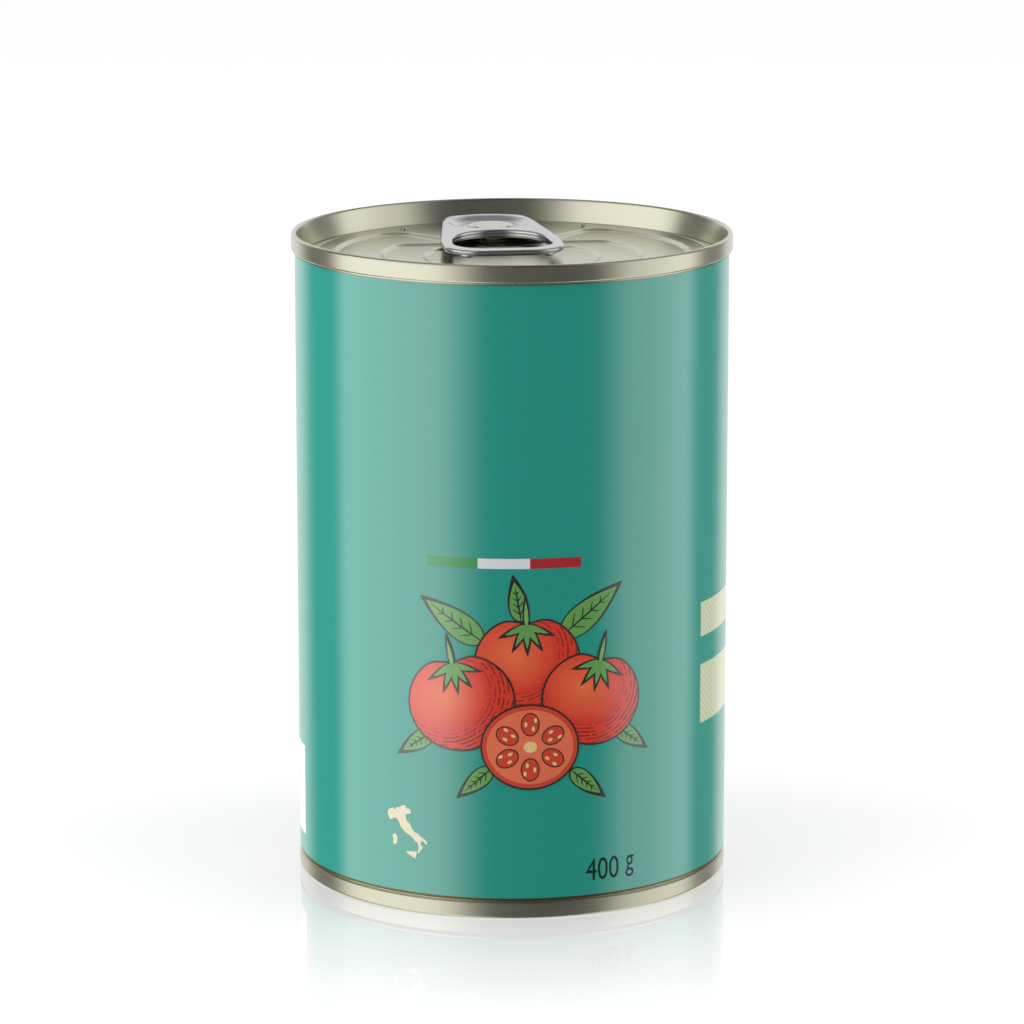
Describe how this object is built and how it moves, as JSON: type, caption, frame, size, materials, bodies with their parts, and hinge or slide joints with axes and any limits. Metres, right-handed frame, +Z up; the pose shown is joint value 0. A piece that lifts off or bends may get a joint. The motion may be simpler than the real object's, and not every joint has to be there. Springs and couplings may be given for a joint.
{
  "type": "tin of tomatoes",
  "caption": "Round tin of peeled tomatoes with gold-toned seams, a ring-pull top end and a glossy green paper label printed with tomatoes, basil leaves and a flag-coloured stripe.",
  "frame": {"origin": "centre of the underside, where the bottom seam stands on the shelf", "axes": "+Z up along the tin's axis; -Y towards the front of the label, where the stripe and the weight are; +X to the right of that front"},
  "size_m": [0.0746, 0.0746, 0.11],
  "materials": {
    "lacquered_steel": "satin tinplate under a clear gold-tinted lacquer",
    "ring_steel": "bright satin, edges rolled smooth",
    "label_paper": "glossy coated printed paper"
  },
  "bodies": {
    "root": {"can_body": "lacquered_steel", "lid": "lacquered_steel", "bottom_end": "lacquered_steel", "ring_pull": "ring_steel", "label": "label_paper"}
  },
  "joints": []
}
